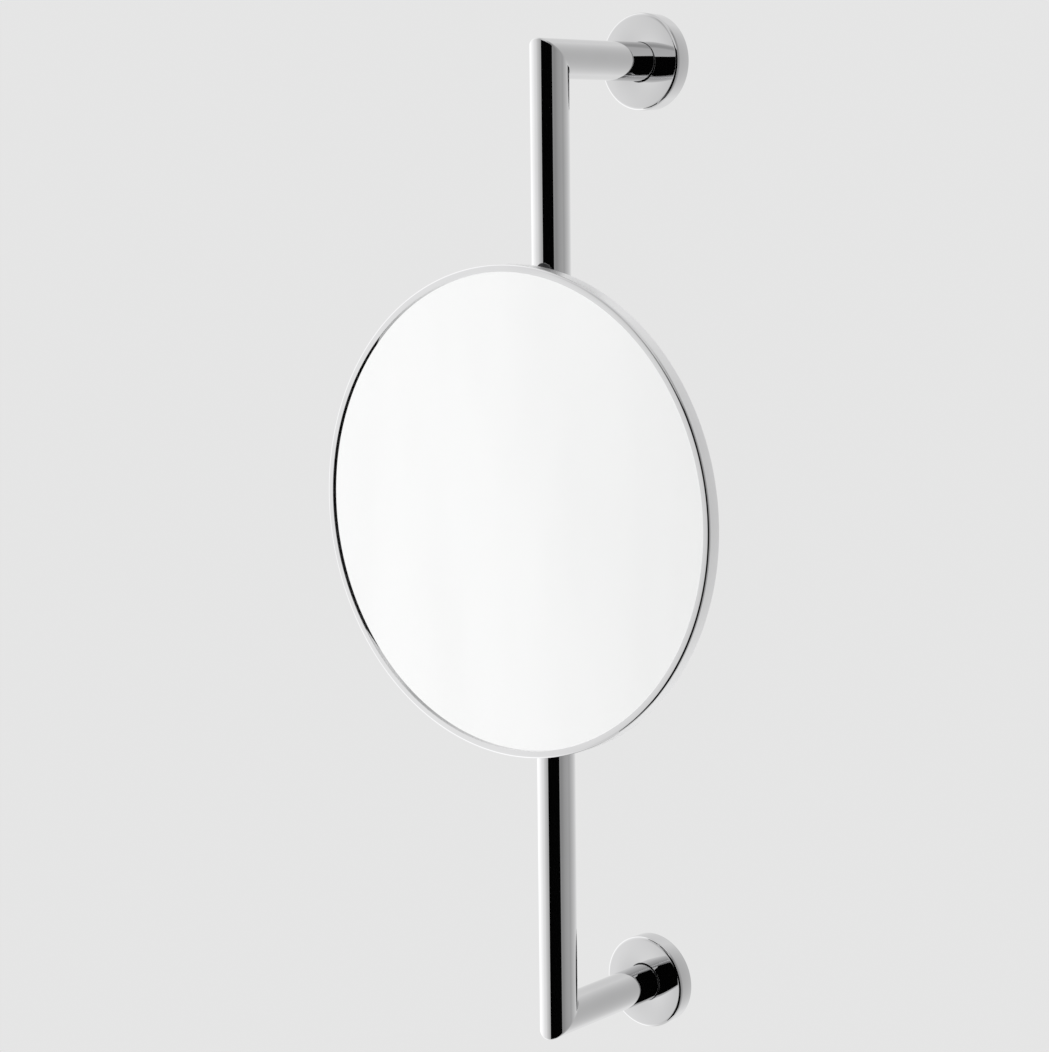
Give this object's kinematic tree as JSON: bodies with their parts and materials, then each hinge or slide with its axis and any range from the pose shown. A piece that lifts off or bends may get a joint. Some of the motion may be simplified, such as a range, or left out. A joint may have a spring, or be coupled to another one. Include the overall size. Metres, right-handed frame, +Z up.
{
  "type": "extendable shaving mirror",
  "caption": "Round chrome-framed shaving mirror on a folding arm that slides and turns on a C-shaped wall rail.",
  "frame": {"origin": "on the wall plane, on the rail's centre line seen from the front, halfway between the two wall arms", "axes": "+Y into the wall, -Y into the room, +Z up, +X to the right of someone facing the mirror"},
  "size_m": [0.2466, 0.1195, 0.542],
  "materials": {
    "rail_chrome": "polished",
    "arm_chrome": "polished",
    "frame_chrome": "polished",
    "glass_silvered": "polished",
    "nylon": "satin",
    "plate_steel": "zinc plated",
    "pin_steel": "turned",
    "pan_paint": "satin",
    "foam": "matte"
  },
  "bodies": {
    "stand": {"rail_tube": "rail_chrome", "upper_arm": "rail_chrome", "lower_arm": "rail_chrome", "upper_rosette": "rail_chrome", "lower_rosette": "rail_chrome", "upper_wall_plate": "plate_steel", "lower_wall_plate": "plate_steel", "upper_grub_screw": "pin_steel", "lower_grub_screw": "pin_steel"},
    "carriage": {"carriage_sleeve": "nylon", "lock_collar": "arm_chrome", "lock_pad": "nylon", "lower_slip_washer": "nylon", "upper_slip_washer": "nylon", "retaining_ring": "arm_chrome"},
    "lock": {"lock_screw": "pin_steel", "lock_knob": "arm_chrome"},
    "inner_arm": {"inner_hub": "arm_chrome", "inner_tube": "arm_chrome", "inner_knuckle": "arm_chrome"},
    "outer_arm": {"elbow_washer": "nylon", "elbow_pin": "pin_steel", "outer_knuckle": "arm_chrome", "outer_tube": "arm_chrome", "head_eye": "arm_chrome", "head_pin": "pin_steel", "head_washer": "nylon"},
    "swivel": {"swivel_block": "arm_chrome", "tilt_pin": "pin_steel"},
    "mirror": {"frame_ring": "frame_chrome", "mirror_glass": "glass_silvered", "foam_pad": "foam", "back_pan": "pan_paint", "pivot_bracket": "plate_steel", "bracket_rivet_1": "pin_steel", "bracket_rivet_2": "pin_steel", "bracket_rivet_3": "pin_steel", "bracket_rivet_4": "pin_steel"}
  },
  "joints": [
    {"name": "carriage_slide", "type": "slide", "parent": "stand", "child": "carriage", "axis": [0, 0, 1], "range_m": [-0.171, 0.249]},
    {"name": "lock_turn", "type": "hinge", "parent": "carriage", "child": "lock", "pos_m": [0, -0.083, -0.053], "axis": [0, 1, 0], "range_deg": [-180, 0]},
    {"name": "arm_swivel", "type": "hinge", "parent": "carriage", "child": "inner_arm", "pos_m": [0, -0.083, -0.031], "axis": [0, 0, 1], "range_deg": [-25, 50]},
    {"name": "elbow_fold", "type": "hinge", "parent": "inner_arm", "child": "outer_arm", "pos_m": [-0.095, -0.0545, -0.018], "axis": [0, 0, -1], "range_deg": [0, 165]},
    {"name": "mirror_turn", "type": "hinge", "parent": "outer_arm", "child": "swivel", "pos_m": [0, -0.1, 0.003], "axis": [0, 0, 1], "range_deg": [-20, 50]},
    {"name": "mirror_tilt", "type": "hinge", "parent": "swivel", "child": "mirror", "pos_m": [0, -0.103, 0.0225], "axis": [1, 0, 0], "range_deg": [-7, 7]}
  ]
}
